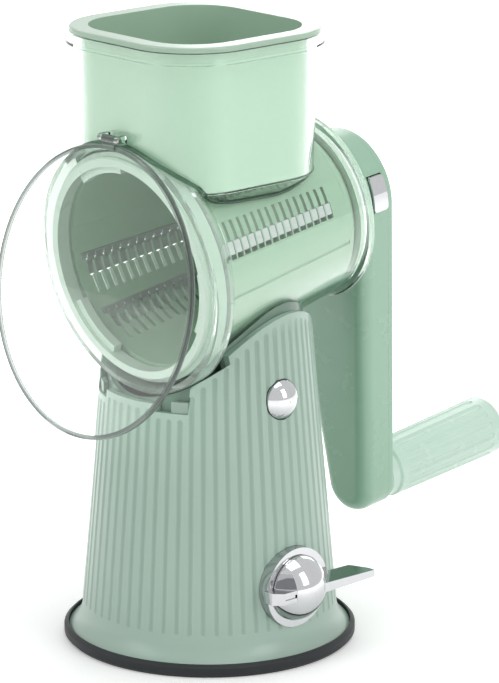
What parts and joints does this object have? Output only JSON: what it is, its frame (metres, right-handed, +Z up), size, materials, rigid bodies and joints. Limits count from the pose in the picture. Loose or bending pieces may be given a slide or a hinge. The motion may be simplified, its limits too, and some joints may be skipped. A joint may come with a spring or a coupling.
{
  "type": "rotary cabbage shredder",
  "caption": "Hand-cranked rotary shredder: fluted mint column on a suction foot, clear hopper and barrel, slotted drum, hollow pusher, clear splash guard and side crank.",
  "frame": {"origin": "centre of the flat underside of the suction foot", "axes": "+Z up through the column, -Y out of the drum's mouth towards the splash guard, +X to the suction lever's side"},
  "size_m": [0.1335, 0.2555, 0.2759],
  "materials": {
    "foot_rubber": "soft satin",
    "mint_column": "satin moulded",
    "mint_pusher": "gloss moulded",
    "mint_drum": "gloss moulded",
    "mint_light": "gloss moulded",
    "mint_arm": "gloss moulded",
    "mint_grip": "gloss moulded",
    "clear_plastic": "clear gloss",
    "clear_skirt": "clear tinted",
    "clear_guard": "clear gloss",
    "chrome": "polished",
    "blade_steel": "brushed",
    "steel": "turned",
    "white_plastic": "matt moulded",
    "dark_plastic": "matt moulded"
  },
  "bodies": {
    "base": {"rubber_foot": "foot_rubber", "column": "mint_column", "base_plate": "dark_plastic", "base_screws": "steel", "lever_bracket": "dark_plastic", "knob_bezel": "chrome", "latch_guide": "dark_plastic", "latch_spring": "steel", "housing": "clear_plastic", "housing_skirt": "clear_skirt", "skirt_keys": "white_plastic", "rear_cover": "mint_light", "bearing_bush": "white_plastic", "guard_pin": "clear_guard"},
    "pull_rod": {"pull_rod": "white_plastic"},
    "suction_lever": {"lever_shaft": "steel", "lever_clip": "steel", "lever_dome": "chrome", "lever_paddle": "chrome"},
    "release_button": {"release_button": "chrome", "latch_pin": "steel"},
    "splash_guard": {"splash_guard": "clear_guard"},
    "pusher": {"pusher": "mint_pusher"},
    "crank": {"drum_panels": "mint_drum", "drum_end": "mint_drum", "drum_blades": "blade_steel", "drum_ring": "mint_light", "drum_hub": "white_plastic", "drive_shaft": "steel", "arm_shell": "mint_arm", "arm_cover": "mint_arm", "arm_screws": "steel", "catch_spring": "steel", "grip_axle": "steel", "grip_screw": "steel"},
    "crank_button": {"crank_button": "chrome", "crank_catch": "steel"},
    "grip": {"grip_collar": "mint_grip", "grip_sleeve": "mint_grip", "grip_cap": "mint_grip"}
  },
  "joints": [
    {"name": "suction_lever_turn", "type": "hinge", "parent": "base", "child": "suction_lever", "pos_m": [0, 0, 0.034], "axis": [1, 0, 0], "range_deg": [0, 90]},
    {"name": "pull_rod_lift", "type": "slide", "parent": "base", "child": "pull_rod", "axis": [0, 0, 1], "range_m": [0, 0.0041]},
    {"name": "release_button_press", "type": "slide", "parent": "base", "child": "release_button", "axis": [-1, 0, 0], "range_m": [0, 0.0035], "stiffness_N_per_m": 300, "deforming": ["latch_spring"]},
    {"name": "guard_hinge", "type": "hinge", "parent": "base", "child": "splash_guard", "pos_m": [0, -0.05596, 0.23261], "axis": [-1, 0, 0], "range_deg": [0, 95]},
    {"name": "pusher_slide", "type": "slide", "parent": "base", "child": "pusher", "axis": [0, 0, 1], "range_m": [0, 0.1]},
    {"name": "crank_spin", "type": "hinge", "parent": "base", "child": "crank", "pos_m": [0, 0, 0.1795], "axis": [0, 0.9925, 0.1219], "continuous": true},
    {"name": "crank_button_press", "type": "slide", "parent": "crank", "child": "crank_button", "axis": [-1, 0, 0], "range_m": [0, 0.0025], "stiffness_N_per_m": 300, "deforming": ["catch_spring"]},
    {"name": "grip_spin", "type": "hinge", "parent": "crank", "child": "grip", "pos_m": [0, 0.01694, 0.04154], "axis": [0, 0.9925, 0.1219], "continuous": true}
  ],
  "couplings": [
    {"joint": "pull_rod_lift", "follows": "suction_lever_turn", "m_per_rad": 0.002546}
  ]
}
